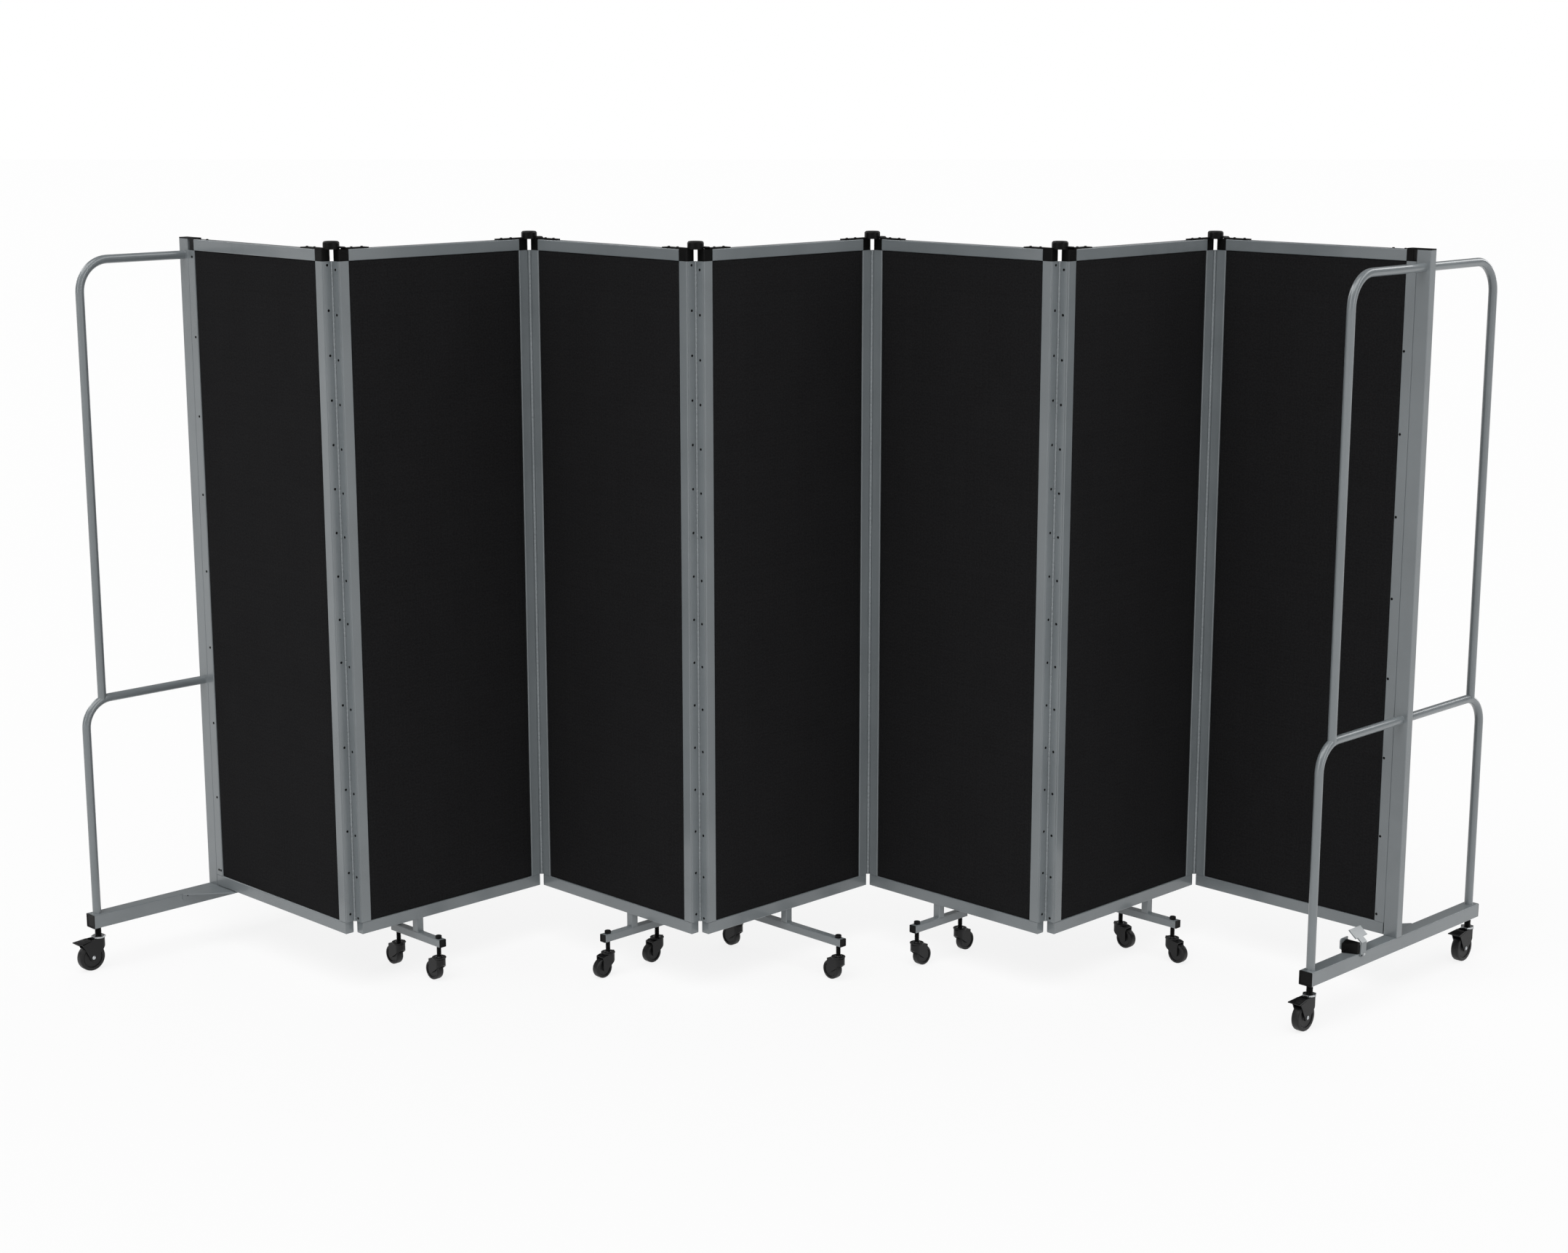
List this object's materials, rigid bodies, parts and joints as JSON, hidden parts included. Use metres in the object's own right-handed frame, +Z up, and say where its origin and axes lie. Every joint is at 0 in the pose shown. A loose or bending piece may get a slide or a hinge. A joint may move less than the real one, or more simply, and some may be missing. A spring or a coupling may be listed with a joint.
{
  "type": "portable room divider",
  "caption": "Folding fabric room divider on casters: hinged framed panels in a zigzag, end frames with tube loops, feet with braked swivel casters and T-bars below.",
  "frame": {"origin": "on the floor, at the centre of the bounding box of the standing zigzag", "axes": "+X along the divider to the right seen from the front, +Y to the back, +Z up"},
  "size_m": [3.5688, 1.0147, 1.8385],
  "materials": {
    "paint": "satin",
    "cloth": "matte",
    "moulding": "matte",
    "wheel": "matte"
  },
  "bodies": {
    "panel_1": {"panel_1_frame": "paint", "panel_1_fabric": "cloth", "panel_1_plastics": "moulding", "end_frame_left": "paint", "foot_left": "paint"},
    "panel_2": {"panel_2_frame": "paint", "panel_2_fabric": "cloth", "panel_2_plastics": "moulding"},
    "panel_3": {"panel_3_frame": "paint", "panel_3_fabric": "cloth", "panel_3_plastics": "moulding"},
    "panel_4": {"panel_4_frame": "paint", "panel_4_fabric": "cloth", "panel_4_plastics": "moulding"},
    "panel_5": {"panel_5_frame": "paint", "panel_5_fabric": "cloth", "panel_5_plastics": "moulding"},
    "panel_6": {"panel_6_frame": "paint", "panel_6_fabric": "cloth", "panel_6_plastics": "moulding"},
    "panel_7": {"panel_7_frame": "paint", "panel_7_fabric": "cloth", "panel_7_plastics": "moulding", "end_frame_right": "paint", "foot_right": "paint"},
    "caster_2f": {"fork_2f": "moulding"},
    "roller_2f": {"wheel_2f": "wheel"},
    "caster_2b": {"fork_2b": "moulding"},
    "roller_2b": {"wheel_2b": "wheel"},
    "caster_3f": {"fork_3f": "moulding"},
    "roller_3f": {"wheel_3f": "wheel"},
    "caster_3b": {"fork_3b": "moulding"},
    "roller_3b": {"wheel_3b": "wheel"},
    "caster_4f": {"fork_4f": "moulding"},
    "roller_4f": {"wheel_4f": "wheel"},
    "caster_4b": {"fork_4b": "moulding"},
    "roller_4b": {"wheel_4b": "wheel"},
    "caster_5f": {"fork_5f": "moulding"},
    "roller_5f": {"wheel_5f": "wheel"},
    "caster_5b": {"fork_5b": "moulding"},
    "roller_5b": {"wheel_5b": "wheel"},
    "caster_6f": {"fork_6f": "moulding"},
    "roller_6f": {"wheel_6f": "wheel"},
    "caster_6b": {"fork_6b": "moulding"},
    "roller_6b": {"wheel_6b": "wheel"},
    "caster_1f": {"fork_1f": "moulding"},
    "roller_1f": {"wheel_1f": "wheel"},
    "brake_1f": {"pedal_1f": "moulding"},
    "caster_1b": {"fork_1b": "moulding"},
    "roller_1b": {"wheel_1b": "wheel"},
    "brake_1b": {"pedal_1b": "moulding"},
    "caster_7f": {"fork_7f": "moulding"},
    "roller_7f": {"wheel_7f": "wheel"},
    "brake_7f": {"pedal_7f": "moulding"},
    "caster_7b": {"fork_7b": "moulding"},
    "roller_7b": {"wheel_7b": "wheel"},
    "brake_7b": {"pedal_7b": "moulding"},
    "latch": {"latch_lever": "paint", "latch_block": "moulding"}
  },
  "joints": [
    {"name": "fold_3_4", "type": "hinge", "parent": "panel_4", "child": "panel_3", "pos_m": [-0.19743, -0.17904, 0.176], "axis": [0, 0, 1], "range_deg": [-90, 90]},
    {"name": "fold_2_3", "type": "hinge", "parent": "panel_3", "child": "panel_2", "pos_m": [-0.62311, 0.20986, 0.176], "axis": [0, 0, -1], "range_deg": [-90, 90]},
    {"name": "fold_1_2", "type": "hinge", "parent": "panel_2", "child": "panel_1", "pos_m": [-1.04879, -0.17904, 0.176], "axis": [0, 0, 1], "range_deg": [-75, 90]},
    {"name": "fold_4_5", "type": "hinge", "parent": "panel_4", "child": "panel_5", "pos_m": [0.22825, 0.20986, 0.176], "axis": [0, 0, 1], "range_deg": [-90, 90]},
    {"name": "fold_5_6", "type": "hinge", "parent": "panel_5", "child": "panel_6", "pos_m": [0.65393, -0.17904, 0.176], "axis": [0, 0, -1], "range_deg": [-90, 90]},
    {"name": "fold_6_7", "type": "hinge", "parent": "panel_6", "child": "panel_7", "pos_m": [1.07961, 0.20986, 0.176], "axis": [0, 0, 1], "range_deg": [-70, 90]},
    {"name": "swivel_2f", "type": "hinge", "parent": "panel_2", "child": "caster_2f", "pos_m": [-0.85221, -0.11823, 0.062], "axis": [0, 0, 1], "continuous": true},
    {"name": "roll_2f", "type": "hinge", "parent": "caster_2f", "child": "roller_2f", "pos_m": [-0.866, -0.10444, 0.025], "axis": [0.7071, 0.7071, 0], "continuous": true},
    {"name": "swivel_2b", "type": "hinge", "parent": "panel_2", "child": "caster_2b", "pos_m": [-0.96959, -0.00085, 0.062], "axis": [0, 0, 1], "continuous": true},
    {"name": "roll_2b", "type": "hinge", "parent": "caster_2b", "child": "roller_2b", "pos_m": [-0.98338, 0.01294, 0.025], "axis": [0.7071, 0.7071, 0], "continuous": true},
    {"name": "swivel_3f", "type": "hinge", "parent": "panel_3", "child": "caster_3f", "pos_m": [-0.4329, -0.07934, 0.062], "axis": [0, 0, 1], "continuous": true},
    {"name": "roll_3f", "type": "hinge", "parent": "caster_3f", "child": "roller_3f", "pos_m": [-0.44668, -0.09313, 0.025], "axis": [0.7071, -0.7071, 0], "continuous": true},
    {"name": "swivel_3b", "type": "hinge", "parent": "panel_3", "child": "caster_3b", "pos_m": [-0.31552, 0.03804, 0.062], "axis": [0, 0, 1], "continuous": true},
    {"name": "roll_3b", "type": "hinge", "parent": "caster_3b", "child": "roller_3b", "pos_m": [-0.3293, 0.02425, 0.025], "axis": [0.7071, -0.7071, 0], "continuous": true},
    {"name": "swivel_4f", "type": "hinge", "parent": "panel_4", "child": "caster_4f", "pos_m": [0.14481, -0.11399, 0.062], "axis": [0, 0, 1], "continuous": true},
    {"name": "roll_4f", "type": "hinge", "parent": "caster_4f", "child": "roller_4f", "pos_m": [0.13102, -0.1002, 0.025], "axis": [0.7071, 0.7071, 0], "continuous": true},
    {"name": "swivel_4b", "type": "hinge", "parent": "panel_4", "child": "caster_4b", "pos_m": [-0.11399, 0.14481, 0.062], "axis": [0, 0, 1], "continuous": true},
    {"name": "roll_4b", "type": "hinge", "parent": "caster_4b", "child": "roller_4b", "pos_m": [-0.12778, 0.1586, 0.025], "axis": [0.7071, 0.7071, 0], "continuous": true},
    {"name": "swivel_5f", "type": "hinge", "parent": "panel_5", "child": "caster_5f", "pos_m": [0.34634, -0.00722, 0.062], "axis": [0, 0, 1], "continuous": true},
    {"name": "roll_5f", "type": "hinge", "parent": "caster_5f", "child": "roller_5f", "pos_m": [0.36012, 0.00657, 0.025], "axis": [0.7071, -0.7071, 0], "continuous": true},
    {"name": "swivel_5b", "type": "hinge", "parent": "panel_5", "child": "caster_5b", "pos_m": [0.46372, 0.11016, 0.062], "axis": [0, 0, 1], "continuous": true},
    {"name": "roll_5b", "type": "hinge", "parent": "caster_5b", "child": "roller_5b", "pos_m": [0.4775, 0.12395, 0.025], "axis": [0.7071, -0.7071, 0], "continuous": true},
    {"name": "swivel_6f", "type": "hinge", "parent": "panel_6", "child": "caster_6f", "pos_m": [1.00041, 0.03167, 0.062], "axis": [0, 0, 1], "continuous": true},
    {"name": "roll_6f", "type": "hinge", "parent": "caster_6f", "child": "roller_6f", "pos_m": [1.0142, 0.01788, 0.025], "axis": [0.7071, 0.7071, 0], "continuous": true},
    {"name": "swivel_6b", "type": "hinge", "parent": "panel_6", "child": "caster_6b", "pos_m": [0.88303, 0.14905, 0.062], "axis": [0, 0, 1], "continuous": true},
    {"name": "roll_6b", "type": "hinge", "parent": "caster_6b", "child": "roller_6b", "pos_m": [0.89682, 0.13526, 0.025], "axis": [0.7071, 0.7071, 0], "continuous": true},
    {"name": "swivel_1f", "type": "hinge", "parent": "panel_1", "child": "caster_1f", "pos_m": [-1.7269, -0.02136, 0.0815], "axis": [0, 0, 1], "continuous": true},
    {"name": "roll_1f", "type": "hinge", "parent": "caster_1f", "child": "roller_1f", "pos_m": [-1.74352, -0.03798, 0.035], "axis": [0.7071, -0.7071, 0], "continuous": true},
    {"name": "brake_1f", "type": "hinge", "parent": "caster_1f", "child": "brake_1f", "pos_m": [-1.75024, -0.04469, 0.0745], "axis": [0.7071, -0.7071, 0], "range_deg": [0, 8]},
    {"name": "swivel_1b", "type": "hinge", "parent": "panel_1", "child": "caster_1b", "pos_m": [-1.22486, 0.48069, 0.0815], "axis": [0, 0, 1], "continuous": true},
    {"name": "roll_1b", "type": "hinge", "parent": "caster_1b", "child": "roller_1b", "pos_m": [-1.24147, 0.46407, 0.035], "axis": [0.7071, -0.7071, 0], "continuous": true},
    {"name": "brake_1b", "type": "hinge", "parent": "caster_1b", "child": "brake_1b", "pos_m": [-1.24819, 0.45735, 0.0745], "axis": [0.7071, -0.7071, 0], "range_deg": [0, 8]},
    {"name": "swivel_7f", "type": "hinge", "parent": "panel_7", "child": "caster_7f", "pos_m": [1.25568, -0.44987, 0.0815], "axis": [0, 0, 1], "continuous": true},
    {"name": "roll_7f", "type": "hinge", "parent": "caster_7f", "child": "roller_7f", "pos_m": [1.23906, -0.46648, 0.035], "axis": [0.7071, -0.7071, 0], "continuous": true},
    {"name": "brake_7f", "type": "hinge", "parent": "caster_7f", "child": "brake_7f", "pos_m": [1.23234, -0.4732, 0.0745], "axis": [0.7071, -0.7071, 0], "range_deg": [0, 8]},
    {"name": "swivel_7b", "type": "hinge", "parent": "panel_7", "child": "caster_7b", "pos_m": [1.75772, 0.05218, 0.0815], "axis": [0, 0, 1], "continuous": true},
    {"name": "roll_7b", "type": "hinge", "parent": "caster_7b", "child": "roller_7b", "pos_m": [1.7411, 0.03556, 0.035], "axis": [0.7071, -0.7071, 0], "continuous": true},
    {"name": "brake_7b", "type": "hinge", "parent": "caster_7b", "child": "brake_7b", "pos_m": [1.73439, 0.02884, 0.0745], "axis": [0.7071, -0.7071, 0], "range_deg": [0, 8]},
    {"name": "latch_lift", "type": "hinge", "parent": "panel_7", "child": "latch", "pos_m": [1.39521, -0.31033, 0.141], "axis": [-0.7071, 0.7071, 0], "range_deg": [0, 45]}
  ]
}
